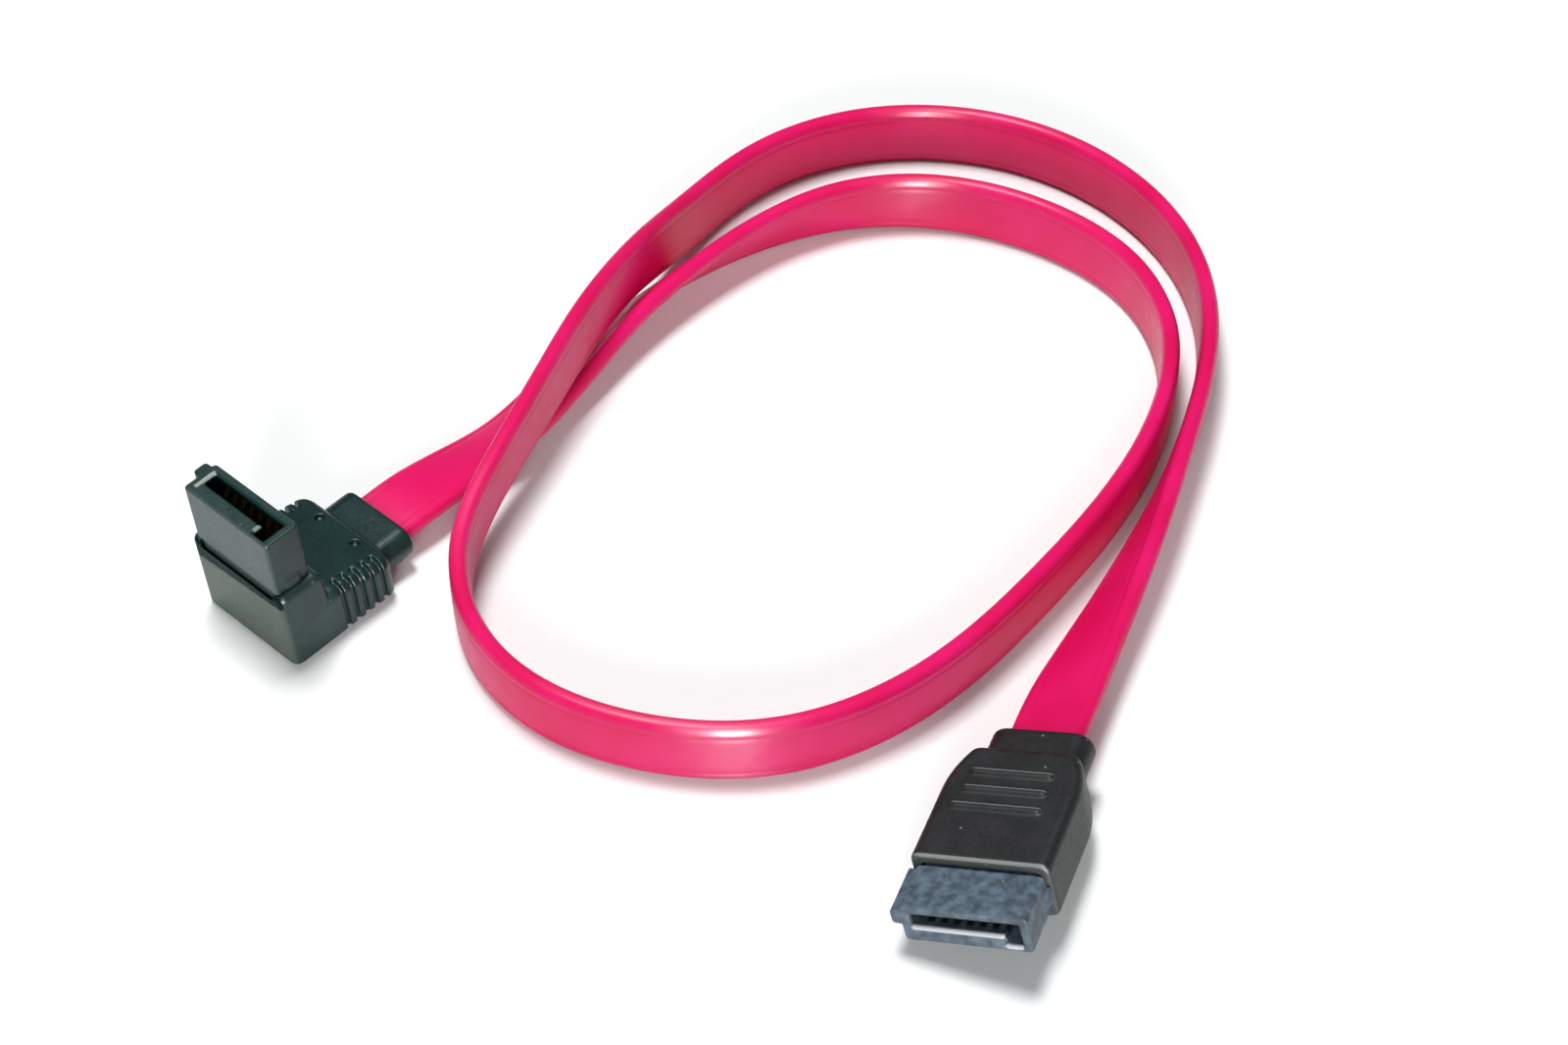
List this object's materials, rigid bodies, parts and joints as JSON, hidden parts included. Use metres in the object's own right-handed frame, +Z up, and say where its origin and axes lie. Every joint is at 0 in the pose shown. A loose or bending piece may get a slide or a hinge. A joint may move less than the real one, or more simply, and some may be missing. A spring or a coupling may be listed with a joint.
{
  "type": "serial data cable",
  "caption": "Flat serial data cable lying in loose loops on its edge, with an angled connector at its start and a straight connector at its end.",
  "frame": {"origin": "on the floor, under the middle of the box around the connectors", "axes": "+Z up from the floor the cable lies on, +X along the longer side of the connectors' common box, +Y away from the straight connector's mouth"},
  "size_m": [0.1082, 0.1242, 0.0178],
  "materials": {
    "ribbon": "smooth flexible jacket, crimson",
    "angled_moulding": "moulded, dark green-black",
    "straight_moulding": "moulded, charcoal",
    "angled_housing": "moulded, dark green-black",
    "straight_housing": "moulded, slate grey",
    "contact": "gold-plated strip",
    "foil": "wrapped foil",
    "signal_wire": "white insulation",
    "drain_wire": "tinned copper"
  },
  "bodies": {
    "root": {"ribbon": "ribbon", "angled_moulding": "angled_moulding", "angled_housing": "angled_housing", "angled_contact_1": "contact", "angled_contact_2": "contact", "angled_contact_3": "contact", "angled_contact_4": "contact", "angled_contact_5": "contact", "angled_contact_6": "contact", "angled_contact_7": "contact", "angled_shielded_pair_1": "foil", "angled_shielded_pair_2": "foil", "angled_drain_wire_1": "drain_wire", "angled_signal_wire_2": "signal_wire", "angled_signal_wire_3": "signal_wire", "angled_drain_wire_4": "drain_wire", "angled_signal_wire_5": "signal_wire", "angled_signal_wire_6": "signal_wire", "angled_drain_wire_7": "drain_wire", "straight_moulding": "straight_moulding", "straight_housing": "straight_housing", "straight_contact_1": "contact", "straight_contact_2": "contact", "straight_contact_3": "contact", "straight_contact_4": "contact", "straight_contact_5": "contact", "straight_contact_6": "contact", "straight_contact_7": "contact", "straight_shielded_pair_1": "foil", "straight_shielded_pair_2": "foil", "straight_drain_wire_1": "drain_wire", "straight_signal_wire_2": "signal_wire", "straight_signal_wire_3": "signal_wire", "straight_drain_wire_4": "drain_wire", "straight_signal_wire_5": "signal_wire", "straight_signal_wire_6": "signal_wire", "straight_drain_wire_7": "drain_wire"}
  },
  "joints": []
}
